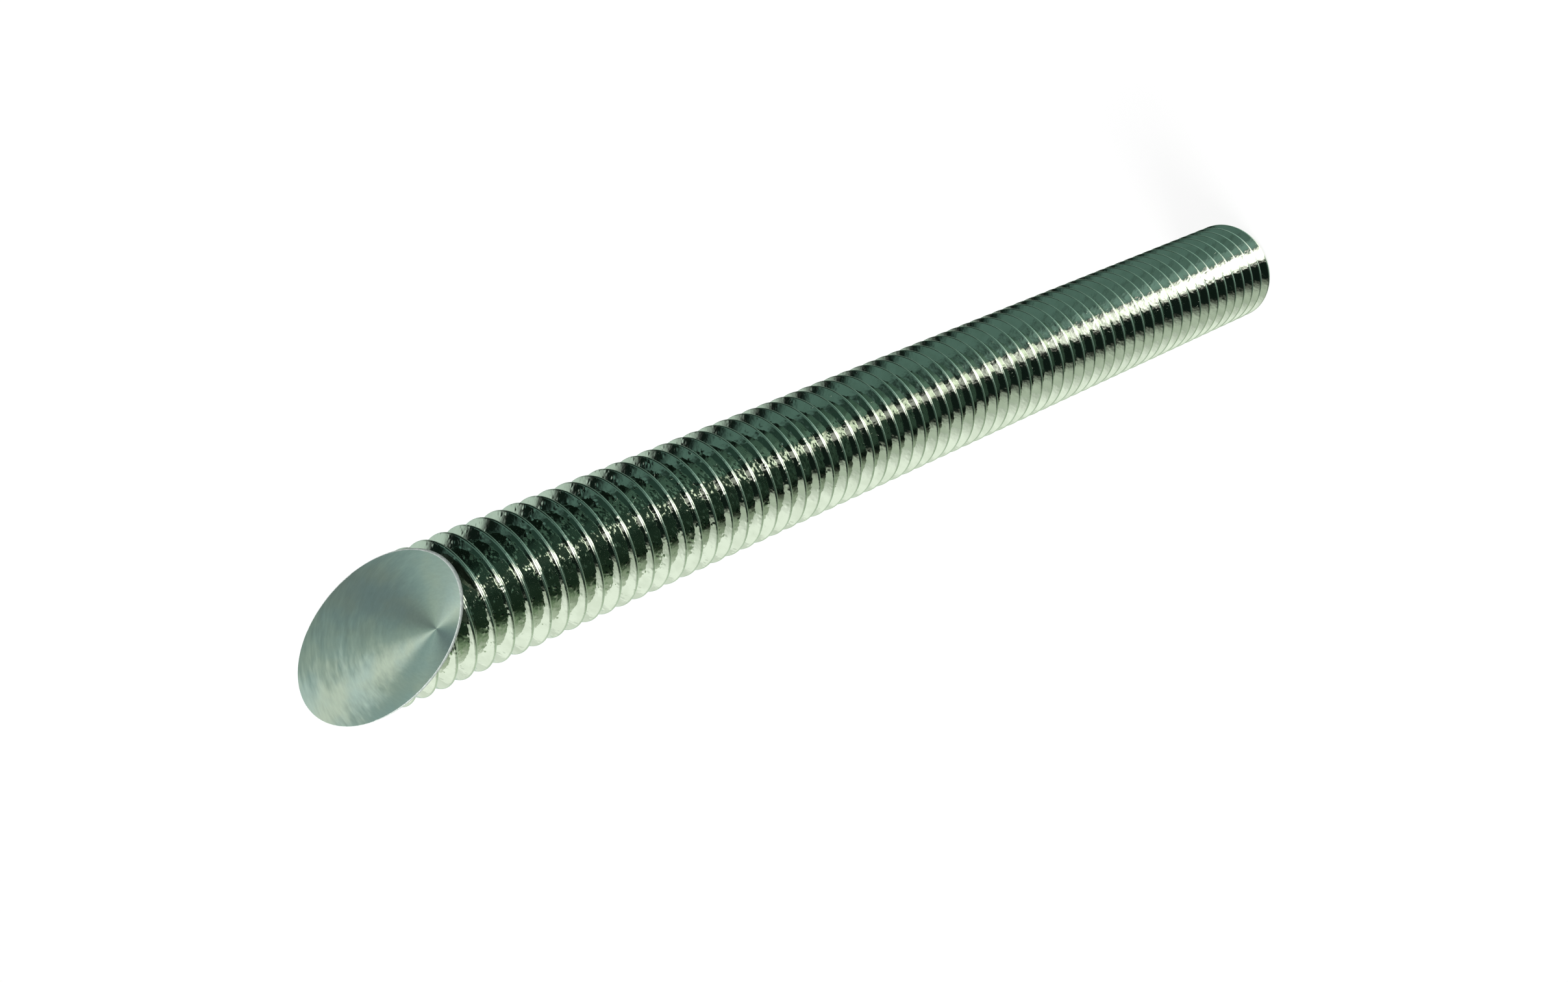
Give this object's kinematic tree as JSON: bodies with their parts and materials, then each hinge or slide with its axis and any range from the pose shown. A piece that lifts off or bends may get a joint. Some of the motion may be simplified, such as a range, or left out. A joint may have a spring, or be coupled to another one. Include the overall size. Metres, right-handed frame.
{
  "type": "threaded rod",
  "caption": "Straight metric steel rod threaded from end to end, right-hand coarse thread, one end sawn square and the other cut on a slant to a long point.",
  "frame": {"origin": "centre of the square end, on the rod's axis; the rod stands on this end", "axes": "+Z along the rod's axis, from the square end to the slanted end; +X towards the long point of the slanted end; +Y completes the right-handed set"},
  "size_m": [0.008, 0.008, 0.0862],
  "materials": {
    "plated_steel": "bright zinc plate over steel, smooth rolled thread, turned grain on the slanted face"
  },
  "bodies": {
    "root": {"threaded_rod": "plated_steel"}
  },
  "joints": []
}
